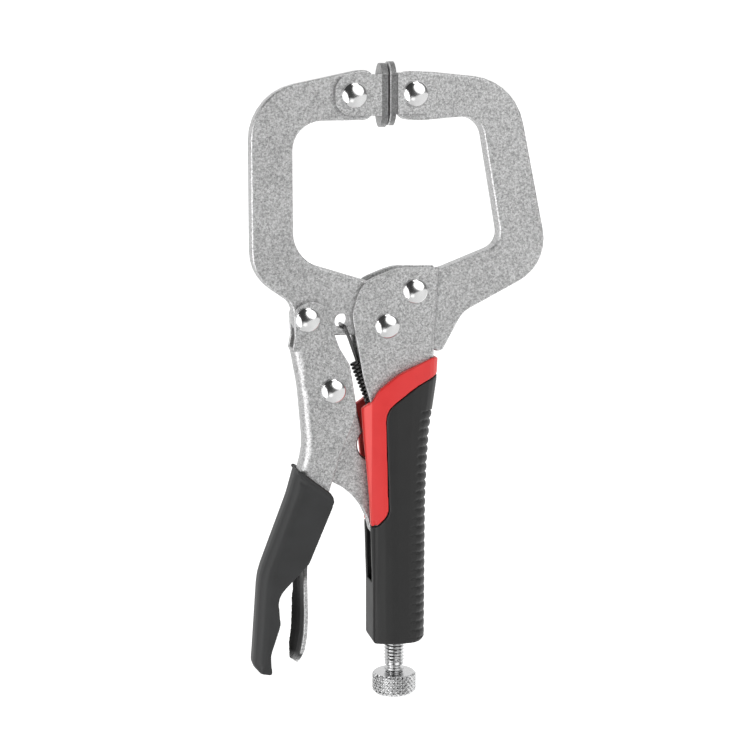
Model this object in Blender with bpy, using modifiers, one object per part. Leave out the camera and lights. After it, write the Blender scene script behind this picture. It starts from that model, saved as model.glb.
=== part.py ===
"""Locking C clamp: a toggle-locked pair of C jaws with swivel pads, an adjusting screw and a return spring.

Front view in the X-Z plane: +X towards the fixed jaw, +Z towards the jaws, Y through the thickness.
The origin is the clamping point, midway between the faces of the two closed pads.
"""

import math

import bmesh
import bpy
from mathutils import Matrix, Vector

MM = 0.001
ARC_STEP = math.radians(12)

# Thicknesses, in millimetres.
JAW_THICK = 9.5
SHEET = 2.3
SIDE_GAP = 0.3
LINK_THICK = 6.0
JAW_HALF = JAW_THICK / 2
INNER_HALF = JAW_HALF + SIDE_GAP
OUTER_HALF = INNER_HALF + SHEET
RUNNING_GAP = 0.3
SEAT_GAP = 0.2

# Pivots (x, z), in millimetres.
JAW_PIVOT = (-0.6, -101.5)
FIXED_RIVET = (12.1, -86.2)
LEVER_PIVOT = (-36.6, -97.8)
LINK_PIVOT = (-25.1, -129.9)
LINK_END = (2.5, -203.0)
RELEASE_PIVOT = (-39.0, -193.0)
SPRING_ANCHOR = (-1.5, -148.0)
SPRING_HOLE = (-20.7, -99.1)
MOVING_PAD_PIVOT = (-15.4, 0.0)
FIXED_PAD_PIVOT = (12.0, 0.7)

# Rivets and pins.
RIVET_SHANK = 2.9
RIVET_HEAD = 5.8
RIVET_DOME = 2.6
PIN_RADIUS = 1.5
SPRING_HOLE_RADIUS = 3.35

# Jaws.
JAW_BOSS = 9.5
MOVING_ARM_OUTER = -60.9
MOVING_ARM_INNER = -42.3
JAW_TOP = 10.9
JAW_NOSE_LOW = -10.8
JAW_EDGE = 0.7

# Pads.
PAD_GAP = 0.8
PAD_PLATE = 2.8
PAD_HALF_HEIGHT = 14.0
PAD_BRIM = 2.35
PAD_HALF_DEPTH = OUTER_HALF + PAD_BRIM
PAD_EAR_HALF = 9.0
PAD_EAR_END = 8.5

# Body channel and grip.
BODY_TOP = -75.6
BODY_BOTTOM = -245.2
BODY_BEND = 3.5
BODY_FOOT_LEFT = -6.0
BODY_SIDE_LEFT = -7.0
BODY_SIDE_TOP = -140.0
JAW_SLOT_BOTTOM = -114.0
NUT_HEIGHT = 12.0
CHANNEL_FOOT = BODY_BOTTOM + NUT_HEIGHT + SEAT_GAP
GRIP_FLOOR = 2.0
GRIP_BOTTOM = BODY_BOTTOM - RUNNING_GAP - GRIP_FLOOR
GRIP_TOP = -115.0
GRIP_SLOT_BOTTOM = -219.5
GRIP_SIDE_WALL = 0.75
GRIP_BULGE = 3.0
GRIP_CORNER_HALF = OUTER_HALF + RUNNING_GAP + GRIP_SIDE_WALL
GRIP_BULGE_HALF = GRIP_CORNER_HALF + GRIP_BULGE
GRIP_REACH = GRIP_BULGE_HALF + 4

# Lever, sleeve and release lever.
LEVER_BEND = 4.3
LEVER_BEND_TOP = -111.0
LEVER_FOOT = -253.6
SLEEVE_WALL = 1.5
SLEEVE_FIT = 0.4
SLEEVE_DROP = 4.5
RELEASE_SHEET = 1.8
RELEASE_HALF = OUTER_HALF - 1.15
RELEASE_LIP = 4.2
RELEASE_HUB = 3.4

# Adjusting screw and knob.
SCREW_X = 4.3
SCREW_RADIUS = 4.6
SCREW_TIP = -212.0
SCREW_SHOWN = 16.3
SPIGOT_STEP = 1.0
SPIGOT_LENGTH = 6.5
KNOB_RADIUS = 10.1
KNOB_TOP = GRIP_BOTTOM - SCREW_SHOWN
KNOB_HEIGHT = 9.7
THREAD_GAP = 0.15

# Return spring.
WIRE_RADIUS = 0.75
COIL_RADIUS = 2.6
COIL_TURNS = 15
COIL_START = 0.36
COIL_END = 0.9

parts = bpy.data.collections.new("locking_c_clamp")
helpers = bpy.data.collections.new("cutters")


def clear_scene():
    for obj in list(bpy.data.objects):
        bpy.data.objects.remove(obj, do_unlink=True)
    bpy.context.scene.collection.children.link(parts)
    bpy.context.scene.collection.children.link(helpers)


def make_material(name, color, roughness, metallic):
    material = bpy.data.materials.new(name)
    material.use_nodes = True
    shader = material.node_tree.nodes["Principled BSDF"]
    shader.inputs["Base Color"].default_value = (*color, 1)
    shader.inputs["Roughness"].default_value = roughness
    shader.inputs["Metallic"].default_value = metallic
    return material


def rounded(corners):
    """The outline through corners (x, z, radius), each rounded by an arc of its radius."""
    points = []
    count = len(corners)
    for index, (x, z, radius) in enumerate(corners):
        corner = Vector((x, z))
        if not radius:
            points.append(corner)
            continue
        before = (Vector(corners[index - 1][:2]) - corner).normalized()
        after = (Vector(corners[(index + 1) % count][:2]) - corner).normalized()
        half = before.angle(after) / 2
        centre = corner + (before + after).normalized() * radius / math.sin(half)
        first = corner + before * radius / math.tan(half) - centre
        turn = first.angle_signed(corner + after * radius / math.tan(half) - centre)
        steps = max(2, math.ceil(abs(turn) / ARC_STEP))
        for step in range(steps + 1):
            # angle_signed is clockwise-positive, and Matrix.Rotation is the other way.
            points.append(centre + Matrix.Rotation(-turn * step / steps, 2) @ first)
    return points


def arc(centre, radius, start, end):
    """Corners along a circular arc, from start to end in degrees, anticlockwise from +X."""
    steps = max(2, math.ceil(math.radians(abs(end - start)) / ARC_STEP))
    angles = [math.radians(start + (end - start) * step / steps) for step in range(steps + 1)]
    return [
        (centre[0] + radius * math.cos(angle), centre[1] + radius * math.sin(angle), 0)
        for angle in angles
    ]


def add_object(name, mesh, group=parts):
    obj = bpy.data.objects.new(name, mesh)
    group.objects.link(obj)
    if group is helpers:
        obj.hide_render = True
        obj.display_type = "WIRE"
    return obj


def recalculate(mesh):
    shape = bmesh.new()
    shape.from_mesh(mesh)
    bmesh.ops.remove_doubles(shape, verts=shape.verts, dist=1e-6)
    bmesh.ops.recalc_face_normals(shape, faces=shape.faces)
    bmesh.ops.dissolve_limit(
        shape, angle_limit=math.radians(0.1), verts=shape.verts, edges=shape.edges
    )
    shape.to_mesh(mesh)
    shape.free()


def plate(name, corners, low, high, group=parts):
    """A flat plate: the rounded outline in X-Z, from y = low to y = high."""
    curve = bpy.data.curves.new(name, "CURVE")
    curve.dimensions = "2D"
    curve.fill_mode = "BOTH"
    curve.extrude = (high - low) / 2 * MM
    points = rounded(corners)
    spline = curve.splines.new("POLY")
    spline.points.add(len(points) - 1)
    for point, place in zip(spline.points, points):
        point.co = (place.x * MM, place.y * MM, 0, 1)
    spline.use_cyclic_u = True
    outline = add_object(name, curve, helpers)
    outline.matrix_world = Matrix.Translation((0, (low + high) / 2 * MM, 0)) @ Matrix.Rotation(
        math.pi / 2, 4, "X"
    )
    bpy.context.view_layer.update()
    evaluated = outline.evaluated_get(bpy.context.evaluated_depsgraph_get())
    mesh = bpy.data.meshes.new_from_object(evaluated)
    mesh.transform(outline.matrix_world)
    bpy.data.objects.remove(outline, do_unlink=True)
    bpy.data.curves.remove(curve)
    recalculate(mesh)
    mesh.name = name
    return add_object(name, mesh, group)


def cylinder(name, place, radius, low, high, group=helpers, axis="Y", segments=24):
    """A cylinder through (x, z) along Y, or through (x, y) along Z, from low to high."""
    shape = bmesh.new()
    bmesh.ops.create_cone(
        shape,
        cap_ends=True,
        segments=segments,
        radius1=radius * MM,
        radius2=radius * MM,
        depth=(high - low) * MM,
    )
    middle = (low + high) / 2
    if axis == "Y":
        turn = Matrix.Rotation(math.pi / 2, 4, "X")
        spot = Matrix.Translation(Vector((place[0], middle, place[1])) * MM)
    else:
        turn = Matrix.Identity(4)
        spot = Matrix.Translation(Vector((place[0], place[1], middle)) * MM)
    bmesh.ops.transform(shape, matrix=spot @ turn, verts=shape.verts)
    mesh = bpy.data.meshes.new(name)
    shape.to_mesh(mesh)
    shape.free()
    recalculate(mesh)
    return add_object(name, mesh, group)


def box(name, low, high, group=helpers):
    """A box between two corners (x, y, z)."""
    shape = bmesh.new()
    bmesh.ops.create_cube(shape, size=1)
    low, high = Vector(low), Vector(high)
    size = (high - low) * MM
    spot = Matrix.Translation((low + high) / 2 * MM) @ Matrix.Diagonal((*size, 1))
    bmesh.ops.transform(shape, matrix=spot, verts=shape.verts)
    mesh = bpy.data.meshes.new(name)
    shape.to_mesh(mesh)
    shape.free()
    return add_object(name, mesh, group)


def boolean(obj, other, operation="DIFFERENCE"):
    modifier = obj.modifiers.new(f"{operation.lower()} {other.name}", "BOOLEAN")
    modifier.operation = operation
    modifier.solver = "EXACT"
    modifier.object = other


def soften(obj, width, segments=1, angle=40):
    """Breaks every sharp edge of the object by a small bevel."""
    bevel = obj.modifiers.new("edges", "BEVEL")
    bevel.width = width * MM
    bevel.segments = segments
    bevel.limit_method = "ANGLE"
    bevel.angle_limit = math.radians(angle)
    bevel.use_clamp_overlap = False
    return bevel


def round_bends(obj, radius, on_bend, segments=3):
    """Rounds the long edges where a sheet turns, those whose midpoint satisfies on_bend(x, z)."""
    mesh = obj.data
    weights = mesh.attributes.new("bevel_weight_edge", "FLOAT", "EDGE")
    for edge in mesh.edges:
        first, second = (mesh.vertices[index].co / MM for index in edge.vertices)
        middle = (first + second) / 2
        along = abs(first.y - second.y) < 1e-3
        weights.data[edge.index].value = float(along and on_bend(middle.x, middle.z))
    bevel = obj.modifiers.new("bends", "BEVEL")
    bevel.width = radius * MM
    bevel.segments = segments
    bevel.limit_method = "WEIGHT"
    bevel.use_clamp_overlap = False


def finish(obj, material, empty=None):
    obj.data.materials.clear()
    obj.data.materials.append(material)
    if obj.type == "MESH":
        obj.data.shade_smooth()
        obj.data.set_sharp_from_angle(angle=math.radians(30))
    if empty:
        obj.parent = empty
        obj.matrix_parent_inverse = empty.matrix_world.inverted()
    return obj


def joint(name, place, parent=None, y=0.0):
    """An empty on a joint's axis, at (x, z)."""
    empty = bpy.data.objects.new(name, None)
    parts.objects.link(empty)
    empty.empty_display_size = 5 * MM
    empty.matrix_world = Matrix.Translation(Vector((place[0], y, place[1])) * MM)
    bpy.context.view_layer.update()
    if parent:
        empty.parent = parent
        empty.matrix_parent_inverse = parent.matrix_world.inverted()
    bpy.context.view_layer.update()
    return empty


def turned(name, profile, place, axis="Y", segments=24, group=parts):
    """A solid of revolution: profile points (radius, height) run down its outer side, top to bottom."""
    mesh = bpy.data.meshes.new(name)
    points = [(radius * MM, 0, height * MM) for radius, height in profile]
    edges = [(index, index + 1) for index in range(len(points) - 1)]
    mesh.from_pydata(points, edges, [])
    obj = add_object(name, mesh, group)
    screw = obj.modifiers.new("turn", "SCREW")
    screw.steps = segments
    screw.render_steps = segments
    screw.use_merge_vertices = True
    screw.merge_threshold = 0.00001
    if axis == "Y":
        obj.rotation_euler = (math.pi / 2, 0, 0)
        obj.location = (place[0] * MM, 0, place[1] * MM)
    else:
        obj.location = (place[0] * MM, 0, place[1] * MM)
    bpy.context.view_layer.update()
    return obj


def loft(name, sections, group=parts):
    """A solid through sections of equal point count, with flat ends."""
    mesh = bpy.data.meshes.new(name)
    size = len(sections[0])
    points = [Vector(point) * MM for section in sections for point in section]
    faces = [list(range(size)), list(range(len(points) - size, len(points)))]
    for row in range(len(sections) - 1):
        for column in range(size):
            first, second = row * size + column, row * size + (column + 1) % size
            faces.append([first, second, second + size, first + size])
    mesh.from_pydata(points, [], faces)
    recalculate(mesh)
    return add_object(name, mesh, group)


def rivet(name, place, material, empty=None):
    """A shank with a domed head on each side, flush on the outer sheets."""
    seat = OUTER_HALF + SEAT_GAP
    dome = [
        (RIVET_HEAD * math.sin(math.radians(angle)), seat + RIVET_DOME * math.cos(math.radians(angle)))
        for angle in (0, 28, 58, 90)
    ]
    dome.append((RIVET_SHANK, seat))
    profile = dome + [(radius, -height) for radius, height in reversed(dome)]
    return finish(turned(name, profile, place, segments=20), material, empty)


def pin(name, place, radius, half, material, empty=None):
    obj = cylinder(name, place, radius, -half, half, group=parts, segments=16)
    return finish(obj, material, empty)


def drill(obj, place, radius, label):
    reach = OUTER_HALF + 1
    hole = cylinder(f"{obj.name}_{label}_hole", place, radius, -reach, reach)
    boolean(obj, hole)


def build_moving_jaw(steel, empty):
    outline = [
        (-6.2, JAW_TOP - 0.3, 4.5),
        (-12.5, JAW_TOP, 12),
        (MOVING_ARM_OUTER, 0.6, 25),
        (MOVING_ARM_OUTER, -78.7, 20),
        (-42.4, -91.5, 8),
        (-43.0, -105.4, 7),
        *arc(JAW_PIVOT, JAW_BOSS, 205, 430),
        (-4.6, -83.1, 1.5),
        (MOVING_ARM_INNER, -71.3, 16),
        (MOVING_ARM_INNER, JAW_NOSE_LOW - 0.6, 13),
        (-6.2, JAW_NOSE_LOW, 5),
    ]
    jaw = plate("moving_jaw", outline, -JAW_HALF, JAW_HALF)
    soften(jaw, JAW_EDGE)
    drill(jaw, JAW_PIVOT, RIVET_SHANK + RUNNING_GAP, "pivot")
    drill(jaw, LEVER_PIVOT, RIVET_SHANK + RUNNING_GAP, "lever")
    drill(jaw, MOVING_PAD_PIVOT, RIVET_SHANK + RUNNING_GAP, "pad")
    drill(jaw, SPRING_HOLE, SPRING_HOLE_RADIUS, "spring")
    return finish(jaw, steel, empty)


def build_fixed_jaw(steel):
    outline = [
        (5.0, JAW_TOP - 0.3, 5),
        (20.0, 10.1, 40),
        (58.1, 6.4, 26),
        (75.2, -75.8, 21),
        (34.7, -96.6, 12),
        (24.9, -114.6, 3),
        (18.6, -112.4, 1.5),
        *arc(JAW_PIVOT, JAW_BOSS + 0.8, -38, 64),
        (-3.4, -82.4, 1),
        (10.0, -78.4, 20),
        (25.0, -76.6, 12),
        (52.5, -66.0, 8),
        (42.3, -8.8, 9.5),
        (14.0, -11.2, 30),
        (5.0, -10.3, 5),
    ]
    jaw = plate("fixed_jaw", outline, -JAW_HALF, JAW_HALF)
    soften(jaw, JAW_EDGE)
    drill(jaw, FIXED_RIVET, RIVET_SHANK + RUNNING_GAP, "rivet")
    drill(jaw, FIXED_PAD_PIVOT, RIVET_SHANK + RUNNING_GAP, "pad")
    return finish(jaw, steel)


BODY_BACK = [(24.0, BODY_TOP, 0), (21.3, -117.0, 40), (17.0, -165.0, 60), (16.2, BODY_BOTTOM, 0)]
BODY_FRONT = [
    (BODY_FOOT_LEFT, BODY_BOTTOM, 0),
    (BODY_SIDE_LEFT, BODY_SIDE_TOP, 5),
    (-11.6, -124.5, 30),
    (-16.6, -96.5, 12),
    (-12.5, -82.0, 12),
    (4.0, BODY_TOP, 22),
]


def shifted(corners, dx, dz=0.0):
    return [(x + dx, z + dz, radius) for x, z, radius in corners]


def back_side(x, z):
    """Whether an edge's midpoint lies on the right side of the body, where its sheet is folded."""
    return x > BODY_BACK[-1][0] - 0.7


def screw_way(name, gap, low, high):
    """A cutter round the adjusting screw, a gap wider than it."""
    return cylinder(name, (SCREW_X, 0), SCREW_RADIUS + gap, low, high, axis="Z", segments=28)


def build_body(steel):
    body = plate("body_channel", BODY_BACK + BODY_FRONT, -OUTER_HALF, OUTER_HALF)
    round_bends(body, BODY_BEND, back_side)
    inner_back = shifted(BODY_BACK, -SHEET)
    foot = BODY_BOTTOM - 5
    outline = [
        (-40, -60, 0),
        (40, -60, 0),
        (40, JAW_SLOT_BOTTOM, 0),
        (inner_back[1][0] + 0.2, JAW_SLOT_BOTTOM, 0),
        *inner_back[1:-1],
        (inner_back[-1][0], foot, 0),
        (-40, foot, 0),
    ]
    boolean(body, plate("body_hollow", outline, -INNER_HALF, INNER_HALF, helpers))
    boolean(body, box("body_foot", (-40, -GRIP_REACH, foot), (40, GRIP_REACH, CHANNEL_FOOT)))
    boolean(body, screw_way("body_screw_way", RUNNING_GAP, foot, SCREW_TIP))
    drill(body, JAW_PIVOT, RIVET_SHANK + RUNNING_GAP, "pivot")
    drill(body, FIXED_RIVET, RIVET_SHANK + RUNNING_GAP, "rivet")
    drill(body, SPRING_ANCHOR, PIN_RADIUS + RUNNING_GAP, "anchor")
    return finish(body, steel)


LEVER_BACK = [
    (-43.4, -111.8, 1.5),
    (-40.2, -128.0, 60),
    (-37.9, -156.0, 30),
    (-43.6, -177.5, 60),
    (-57.3, -213.5, 30),
    (-60.6, -254.5, 4),
]
LEVER_OUTLINE = [
    (-43.0, -90.0, 7.0),
    (-42.3, -105.8, 1.5),
    *LEVER_BACK,
    (-56.0, -256.4, 1),
    (-56.0, -250.0, 8),
    (-51.6, -236.0, 6),
    (-52.9, -224.0, 9),
    (-37.6, -208.6, 4),
    (-28.2, -179.0, 5),
    (-22.0, -158.5, 30),
    (-14.2, -140.5, 14),
    (-17.7, -118.6, 5),
    (-22.3, -111.0, 4),
    (-30.1, -90.0, 5.5),
]
SLEEVE_FRONT = [
    (-53.8, -261.0, 1),
    (-54.4, -250.0, 10),
    (-49.8, -236.0, 6),
    (-50.9, -223.0, 9),
    (-36.6, -208.2, 2.5),
    (-25.0, -180.8, 1.5),
    (-27.0, -176.2, 1.5),
]


def lever_hollow():
    """What is cut from the lever's solid outline, leaving a sheet along its back below its open head."""
    floor = LEVER_BEND_TOP + 0.2
    inside = shifted(LEVER_BACK, SHEET)
    head = [(-60.0, -80.0, 0), (-60.0, floor, 0), (inside[0][0], floor, 0)]
    return head + inside[1:-1] + [(inside[-1][0], LEVER_FOOT, 0), (0.0, LEVER_FOOT, 0), (0.0, -80.0, 0)]


def sleeve_outline():
    """The sleeve's back runs along the lever's, outside it by the fit and the wall."""
    outside = shifted(LEVER_BACK[3:], -SLEEVE_FIT - SLEEVE_WALL)
    bottom = (outside[-1][0], outside[-1][1] - SLEEVE_DROP, 5)
    return [(-41.9, -164.6, 1.5), *outside[:-1], bottom, *SLEEVE_FRONT]


def sleeve_hollow():
    back = shifted(LEVER_BACK[2:], -SLEEVE_FIT)
    foot = LEVER_BACK[-1][1] - SLEEVE_DROP + SLEEVE_WALL + 0.5
    top = -150.0
    return [
        (back[0][0], top, 0),
        *back[:-1],
        (back[-1][0], foot, 0),
        (-10.0, foot, 0),
        (-10.0, top, 0),
    ]


def build_lever(steel, empty):
    lever = plate("lever_channel", LEVER_OUTLINE, -OUTER_HALF, OUTER_HALF)
    round_bends(lever, LEVER_BEND, lambda x, z: z < LEVER_BEND_TOP and x < back_line(z) + 1.5)
    boolean(lever, plate("lever_hollow", lever_hollow(), -INNER_HALF, INNER_HALF, helpers))
    drill(lever, LEVER_PIVOT, RIVET_SHANK + RUNNING_GAP, "pivot")
    drill(lever, LINK_PIVOT, RIVET_SHANK + RUNNING_GAP, "link")
    drill(lever, RELEASE_PIVOT, PIN_RADIUS + RUNNING_GAP, "release")
    return finish(lever, steel, empty)


def back_line(z):
    """The lever's back edge at height z, straight between the outline's corners."""
    for (x1, z1, _), (x2, z2, _) in zip(LEVER_BACK, LEVER_BACK[1:]):
        if z2 <= z <= z1:
            return x1 + (x2 - x1) * (z - z1) / (z2 - z1)
    return LEVER_BACK[-1][0]


def build_sleeve(vinyl, empty):
    inner = OUTER_HALF + RUNNING_GAP
    half = inner + SLEEVE_WALL
    sleeve = plate("lever_sleeve", sleeve_outline(), -half, half)
    round_bends(sleeve, LEVER_BEND + SLEEVE_WALL, lambda x, z: z < -166 and x < back_line(z) + 0.5)
    hollow = plate("sleeve_hollow", sleeve_hollow(), -inner, inner, helpers)
    round_bends(hollow, LEVER_BEND - SLEEVE_FIT * 2, lambda x, z: x < back_line(z) + 1.5)
    boolean(sleeve, hollow)
    return finish(sleeve, vinyl, empty)


def build_link(steel, empty):
    outline = [
        (LINK_PIVOT[0] - 7.6, LINK_PIVOT[1] + 7.6, 7.6),
        (-33.0, -168.0, 4),
        *arc((-38.0, -200.0), 30.6, 66, 8),
        *arc(LINK_END, 4.2, 190, 350),
        (4.5, -185.0, 20),
        (0.0, -167.0, 5),
        *arc((-5.8, -155.7), 7.7, 265, 134),
        (-14.6, -135.5, 6),
        (LINK_PIVOT[0] + 7.6, LINK_PIVOT[1] + 7.6, 7.6),
    ]
    half = LINK_THICK / 2
    link = plate("toggle_link", outline, -half, half)
    soften(link, 0.5)
    drill(link, LINK_PIVOT, RIVET_SHANK + RUNNING_GAP, "pivot")
    return finish(link, steel, empty)


def build_release(steel, empty):
    """A bent strip that swings between the lever's ears, with a turned-up lip on its far side."""
    path = [
        (-32.5, -177.0, 0.0),
        (-35.5, -186.0, 0.0),
        (-37.2, -196.0, 0.0),
        (-37.6, -208.0, 0.0),
        (-37.9, -213.0, 0.2),
        (-38.2, -220.0, 0.8),
        (-38.7, -232.0, 1.0),
        (-39.7, -242.0, 1.0),
        (-41.2, -249.5, 0.9),
        (-42.8, -253.8, 0.6),
        (-43.8, -255.4, 0.35),
    ]
    narrow = INNER_HALF - RUNNING_GAP - 0.3
    sections = []
    for index, (x, z, spread) in enumerate(path):
        nearby = path[max(index - 1, 0)], path[min(index + 1, len(path) - 1)]
        slope = Vector((nearby[1][0] - nearby[0][0], nearby[1][1] - nearby[0][1])).normalized()
        normal = Vector((-slope.y, slope.x)) * RELEASE_SHEET / 2
        half = narrow + (RELEASE_HALF - narrow) * min(spread, 1.0)
        if z < -250:
            half = RELEASE_HALF * spread
        rim = []
        for step in range(7):
            across = -1 + step / 3
            lip = RELEASE_LIP * spread * max(0.0, across) ** 2
            rim.append((x - lip, half * across, z))
        outer = [(px + normal.x, py, pz + normal.y) for px, py, pz in rim]
        inner = [(px - normal.x, py, pz - normal.y) for px, py, pz in reversed(rim)]
        sections.append(outer + inner)
    lever = loft("release_lever", sections)
    hub = cylinder("release_hub", RELEASE_PIVOT, RELEASE_HUB, -narrow, narrow)
    boolean(lever, hub, "UNION")
    drill(lever, RELEASE_PIVOT, PIN_RADIUS + RUNNING_GAP, "pin")
    return finish(lever, steel, empty)


def grip_section(z, left, right):
    """A rounded D across the grip: a flat left wall, bulged sides and a round right end."""
    widest = 0.45
    shares = []
    for step in range(4):
        share = widest * step / 4
        rise = math.sin(math.pi / 2 * step / 4)
        shares.append((share, GRIP_CORNER_HALF + (GRIP_BULGE_HALF - GRIP_CORNER_HALF) * rise))
    for step in range(8):
        angle = math.pi / 2 * step / 7
        share = widest + (1 - widest) * math.sin(angle) ** (2 / 3.2)
        shares.append((share, GRIP_BULGE_HALF * math.cos(angle) ** (2 / 2.2)))
    shares[-1] = (1.0, 0.0)
    half = [(left + (right - left) * share, depth, z) for share, depth in shares]
    return half + [(x, -depth, z) for x, depth, z in reversed(half[:-1])]


GRIP_STATIONS = [
    (GRIP_TOP, -14.0, 24.0),
    (-127.0, -13.6, 23.4),
    (-139.0, -12.4, 21.6),
    (-150.0, -11.6, 20.0),
    (-165.0, -10.1, 19.0),
    (-180.0, -8.8, 18.4),
    (-193.0, -8.2, 18.2),
    (-220.0, -7.4, 18.1),
    (GRIP_BOTTOM + 1.5, -7.4, 18.0),
    (GRIP_BOTTOM, -6.6, 16.8),
]
GRIP_UPPER_EDGE = [
    (-20.0, -143.0, 0),
    (-8.2, -135.6, 1.5),
    (-4.9, -130.2, 6),
    (4.3, -122.9, 30),
    (20.5, -115.9, 2.5),
    (30.0, -119.5, 0),
]
ACCENT_EDGE = [
    (30.0, -121.5, 0),
    (13.2, -128.4, 30),
    (-1.9, -139.5, 10),
    (-0.3, -187.0, 6),
    (-5.0, -192.4, 4),
    (-20.0, -193.6, 0),
]


def grip_blank(name):
    """The whole grip before it is divided into its two colours."""
    blank = loft(name, [grip_section(*station) for station in GRIP_STATIONS])
    keep = plate(
        f"{name}_envelope",
        GRIP_UPPER_EDGE + [(30.0, GRIP_BOTTOM - 5, 0), (-20.0, GRIP_BOTTOM - 5, 0)],
        -GRIP_REACH,
        GRIP_REACH,
        helpers,
    )
    boolean(blank, keep, "INTERSECT")
    half = OUTER_HALF + RUNNING_GAP
    bottom = BODY_BOTTOM - RUNNING_GAP
    back = shifted(BODY_BACK, RUNNING_GAP)
    back[-1] = (back[-1][0], bottom, 0)
    foot_left = BODY_FOOT_LEFT - RUNNING_GAP
    front = [(foot_left, bottom, 0), (BODY_SIDE_LEFT - RUNNING_GAP, BODY_SIDE_TOP, 5)]
    hollow = plate(
        f"{name}_hollow",
        [(back[0][0] + 0.5, BODY_TOP, 0), *back[1:], *front, (-14.0, -115.0, 0), (-14.0, BODY_TOP, 0)],
        -half,
        half,
        helpers,
    )
    round_bends(hollow, BODY_BEND + RUNNING_GAP, back_side)
    boolean(blank, hollow)
    slot_half = INNER_HALF + SEAT_GAP
    slot = box(f"{name}_slot", (-30, -slot_half, GRIP_SLOT_BOTTOM), (0, slot_half, -100))
    boolean(blank, slot)
    boolean(
        blank,
        screw_way(f"{name}_screw_hole", 2 * RUNNING_GAP, GRIP_BOTTOM - 5, BODY_BOTTOM + 5),
    )
    return blank


def accent_region(name, inset):
    edge = [(x - inset * 0.3, z + inset, radius) for x, z, radius in ACCENT_EDGE]
    edge[-1] = (-20.0, ACCENT_EDGE[-1][1] + inset, 0)
    edge = [(x - inset, z, r) if -10 < x < 0 and z < -150 else (x, z, r) for x, z, r in edge]
    corners = edge + [(-20.0, -100.0, 0), (30.0, -100.0, 0)]
    return plate(name, corners, -GRIP_REACH - 1, GRIP_REACH + 1, helpers)


def build_grip(black, red):
    main = grip_blank("main_grip")
    boolean(main, accent_region("accent_seat", 0))
    accent = grip_blank("grip_accent")
    boolean(accent, accent_region("accent_keep", RUNNING_GAP), "INTERSECT")
    return finish(main, black), finish(accent, red)


def build_pad(name, pivot, side, steel, empty):
    """A swivel pad: an oval face plate with two ears folded back along the jaw. side is -1 or 1."""
    face = side * PAD_GAP / 2
    back = face + side * PAD_PLATE
    end = pivot[0] + side * PAD_EAR_END
    middle = pivot[1]
    outline = [
        (face, middle + PAD_HALF_HEIGHT + 1, 0),
        (back, middle + PAD_HALF_HEIGHT + 1, 0),
        (back, middle + PAD_EAR_HALF, 0),
        (end, middle + PAD_EAR_HALF, 7.5),
        (end, middle - PAD_EAR_HALF, 7.5),
        (back, middle - PAD_EAR_HALF, 0),
        (back, middle - PAD_HALF_HEIGHT - 1, 0),
        (face, middle - PAD_HALF_HEIGHT - 1, 0),
    ]
    pad = plate(name, outline, -OUTER_HALF, OUTER_HALF)
    steps = 32
    oval = [
        (
            PAD_HALF_DEPTH * math.cos(2 * math.pi * (step + 0.5) / steps),
            middle + PAD_HALF_HEIGHT * math.sin(2 * math.pi * (step + 0.5) / steps),
        )
        for step in range(steps)
    ]
    sections = [[(x, y, z) for y, z in oval] for x in (-40, 40)]
    boolean(pad, loft(f"{name}_oval", sections, helpers), "INTERSECT")
    floor = back + side * SEAT_GAP
    slot = box(
        f"{name}_slot",
        (min(floor, side * 40), -INNER_HALF, -30),
        (max(floor, side * 40), INNER_HALF, 30),
    )
    boolean(pad, slot)
    drill(pad, pivot, RIVET_SHANK + RUNNING_GAP, "rivet")
    return finish(pad, steel, empty)


def build_screw(plated, slide_empty, knob_empty):
    spigot = SCREW_RADIUS - SPIGOT_STEP
    bottom = KNOB_TOP - SPIGOT_LENGTH
    profile = [
        (0, SCREW_TIP),
        (SCREW_RADIUS - 1.2, SCREW_TIP),
        (SCREW_RADIUS, SCREW_TIP - 1.2),
        (SCREW_RADIUS, KNOB_TOP + 1.6),
        (spigot, KNOB_TOP + 1.0),
        (spigot, bottom),
        (0, bottom),
    ]
    screw = turned("adjusting_screw", profile, (SCREW_X, 0), axis="Z", segments=28)
    finish(screw, plated, slide_empty)
    low = KNOB_TOP - KNOB_HEIGHT
    bore = spigot + RUNNING_GAP
    profile = [
        (bore, bottom - RUNNING_GAP),
        (bore, KNOB_TOP),
        (KNOB_RADIUS - 0.9, KNOB_TOP),
        (KNOB_RADIUS, KNOB_TOP - 0.9),
        (KNOB_RADIUS, low + 1.4),
        (KNOB_RADIUS - 1.4, low),
        (0, low),
    ]
    knob = turned(
        "adjusting_knob", [(0, bottom - RUNNING_GAP)] + profile, (SCREW_X, 0), "Z", segments=36
    )
    finish(knob, plated, knob_empty)


def build_nut(steel):
    """The tapped block in the foot of the grip, under the body channel and of its outline."""
    top = BODY_BOTTOM + NUT_HEIGHT
    (upper_x, upper_z, _), (lower_x, lower_z, _) = BODY_BACK[-2:]
    right = lower_x + (upper_x - lower_x) * (top - lower_z) / (upper_z - lower_z)
    outline = [
        (BODY_FOOT_LEFT, BODY_BOTTOM, 0),
        (BODY_FOOT_LEFT, top, 0),
        (right, top, 0),
        (lower_x, BODY_BOTTOM, 0),
    ]
    nut = plate("end_nut", outline, -OUTER_HALF, OUTER_HALF)
    round_bends(nut, BODY_BEND, back_side)
    boolean(nut, screw_way("nut_bore", THREAD_GAP, BODY_BOTTOM - 5, top + 5))
    return finish(nut, steel)


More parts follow.
